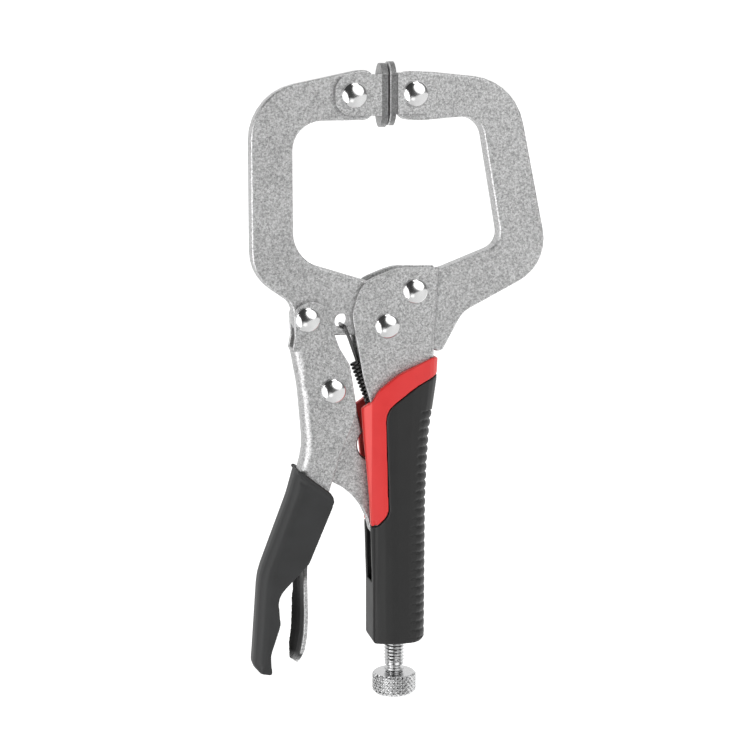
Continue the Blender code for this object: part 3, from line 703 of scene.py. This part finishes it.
def spring_points():
    """The wire's centre: upper hook through the jaw's hole, coil, and lower hook round the anchor pin."""
    per_turn = 20
    anchor = Vector((SPRING_ANCHOR[0], 0, SPRING_ANCHOR[1]))
    hole = Vector((SPRING_HOLE[0], 0, SPRING_HOLE[1]))
    down = (anchor - hole).normalized()
    top = hole + down * (SPRING_HOLE_RADIUS - WIRE_RADIUS - 0.2)
    length = (anchor - top).length
    side = Vector((down.z, 0, -down.x))
    thick = Vector((0, 1, 0))
    face = JAW_HALF + WIRE_RADIUS + 0.3
    points = [
        top + down * 3.6 + thick * face,
        top + down * 0.6 + thick * face,
        top + thick * (face - 0.8),
        top,
        top - thick * (face - 0.8),
        top + down * 0.6 - thick * face,
        top + down * 3.0 - thick * face,
        top + down * 6.0 - thick * face,
        top + down * (length * 0.36 - 2.0) - thick * (COIL_RADIUS + 0.5),
    ]
    start = length * 0.36
    end = length * 0.9
    steps = COIL_TURNS * per_turn
    for step in range(steps + 1):
        angle = 2 * math.pi * step / per_turn
        along = start + (end - start) * step / steps
        spoke = side * math.sin(angle) - thick * math.cos(angle)
        points.append(top + down * along + spoke * COIL_RADIUS)
    hook = ANCHOR_PIN_RADIUS + WIRE_RADIUS + 0.3
    points.append(anchor - down * (hook + 0.9) - side * (hook * 0.7) - thick * 0.6)
    for step in range(8):
        angle = math.radians(-150 + 40 * step)
        points.append(anchor + (side * math.cos(angle) + down * math.sin(angle)) * hook)
    return points


def make_spring():
    curve = bpy.data.curves.new("return_spring_wire", "CURVE")
    curve.dimensions = "3D"
    curve.bevel_depth = WIRE_RADIUS * MM
    curve.bevel_resolution = 3
    curve.use_fill_caps = True
    points = spring_points()
    spline = curve.splines.new("POLY")
    spline.points.add(len(points) - 1)
    for point, spot in zip(spline.points, points):
        point.co = (*(spot * MM), 1)
    spring = bpy.data.objects.new("return_spring_wire", curve)
    bpy.context.scene.collection.objects.link(spring)
    pick(spring)
    bpy.ops.object.convert(target="MESH")
    spring = bpy.context.object
    in_edit(spring)
    bpy.ops.mesh.remove_doubles(threshold=0.00001)
    bpy.ops.mesh.normals_make_consistent(inside=False)
    out_of_edit()
    smooth(spring, 50)
    spring.data.materials.clear()
    spring.data.materials.append(FINISHES["black_oxide_wire"])
    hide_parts("return_spring")
    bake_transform(spring)


# ---- Stage, lights and camera ------------------------------------------------------------------


SOFTBOXES = [
    # Direction, half-width in degrees, brightness.
    ((0.43, -0.80, 0.45), 27, 1.7),
    ((-0.78, -0.55, -0.25), 30, 2.4),
    ((-0.13, -0.91, -0.39), 5, 1.4),
    ((0.45, -0.25, -0.85), 62, 0.72),
]


def make_stage():
    """A pale floor, and a room that is white behind the clamp, dim in front of it, with soft boxes."""
    deselect()
    bpy.ops.mesh.primitive_plane_add(size=60, location=(0, 25, -0.42))
    floor = bpy.context.object
    floor.name = "floor"
    floor.data.materials.append(pale_floor())
    floor.visible_glossy = False
    floor.visible_shadow = False

    world = bpy.context.scene.world or bpy.data.worlds.new("studio")
    bpy.context.scene.world = world
    world.use_nodes = True
    world.node_tree.nodes.clear()
    room = Board(world.node_tree)
    look = room.node("ShaderNodeTexCoord", {}, {}, "Generated")
    light = room.between(room.along(look, (0, 1, 0)), -0.1, 0.25, 0.0, 0.95)
    light += room.between(room.along(look, (1, 0, 0)), -0.3, 0.6, 0.05, 0.22)
    for direction, half_width, level in SOFTBOXES:
        axis = Vector(direction).normalized()
        edge = math.cos(math.radians(half_width))
        light += room.between(room.along(look, axis), edge - 0.03, edge + 0.03, 0.0, level)
    seen = room.node("ShaderNodeLightPath", {}, {}, "Is Camera Ray")
    inputs = {"Color": grey(1.0), "Strength": light * (1 - seen) + 1.05 * seen}
    glow = room.node("ShaderNodeBackground", {}, inputs)
    sky = room.tree.nodes.new("ShaderNodeOutputWorld")
    room.feed(sky.inputs["Surface"], glow)


def area_light(name, place, target, size, power):
    """A rectangular soft light at place, in metres, turned towards target."""
    data = bpy.data.lights.new(name, "AREA")
    data.shape = "RECTANGLE"
    data.size, data.size_y = size
    data.energy = power
    light = bpy.data.objects.new(name, data)
    bpy.context.scene.collection.objects.link(light)
    aim = Vector(target) - Vector(place)
    light.matrix_world = Matrix.Translation(place) @ aim.to_track_quat("-Z", "Y").to_matrix().to_4x4()
    light.visible_camera = False


def make_lights():
    middle = (0, 0, -0.12)
    area_light("top_window", (0.2, -0.5, 1.1), middle, (0.6, 0.5), 2.5)
    area_light("left_window", (-1.2, -0.5, 0.1), middle, (0.4, 0.8), 3.6)


def make_camera():
    yaw, pitch = math.radians(12), math.radians(9)
    look = Vector(
        (math.sin(yaw) * math.cos(pitch), math.cos(yaw) * math.cos(pitch), -math.sin(pitch))
    )
    data = bpy.data.cameras.new("camera")
    data.sensor_width = 36
    data.lens = 86.24
    camera = bpy.data.objects.new("camera", data)
    bpy.context.scene.collection.objects.link(camera)
    turn = look.to_track_quat("-Z", "Y").to_matrix().to_4x4()
    camera.matrix_world = Matrix.Translation((-0.17086, -0.77385, 0.00236)) @ turn
    bpy.context.scene.camera = camera


FINISHES = {
    "nickel_plated_steel": nickel_plate(),
    "polished_rivet_steel": polished_steel(),
    "bright_zinc": bright_zinc(),
    "black_oxide_wire": black_oxide(),
    "black_rubber": black_rubber(),
    "red_rubber": red_rubber(),
    "dipped_vinyl": dipped_vinyl(),
}

# Plate finish with painted shade on the pads' cut edges.
PAD_PAINTED_SHADE_FINISH = nickel_plate("nickel_plated_pad_painted_shade", pad_edge_painted_shade)
# Plate finish with painted shade on the release lever's hollow side.
PAN_PAINTED_SHADE_FINISH = nickel_plate("nickel_plated_pan_painted_shade", pan_hollow_painted_shade)

make_plates()
make_pads()
make_rivets()
make_grip()
make_sleeve()
make_release()
make_screw()
make_knob()
make_spring()
make_stage()
make_lights()
make_camera()
bpy.context.scene.view_settings.view_transform = "Standard"
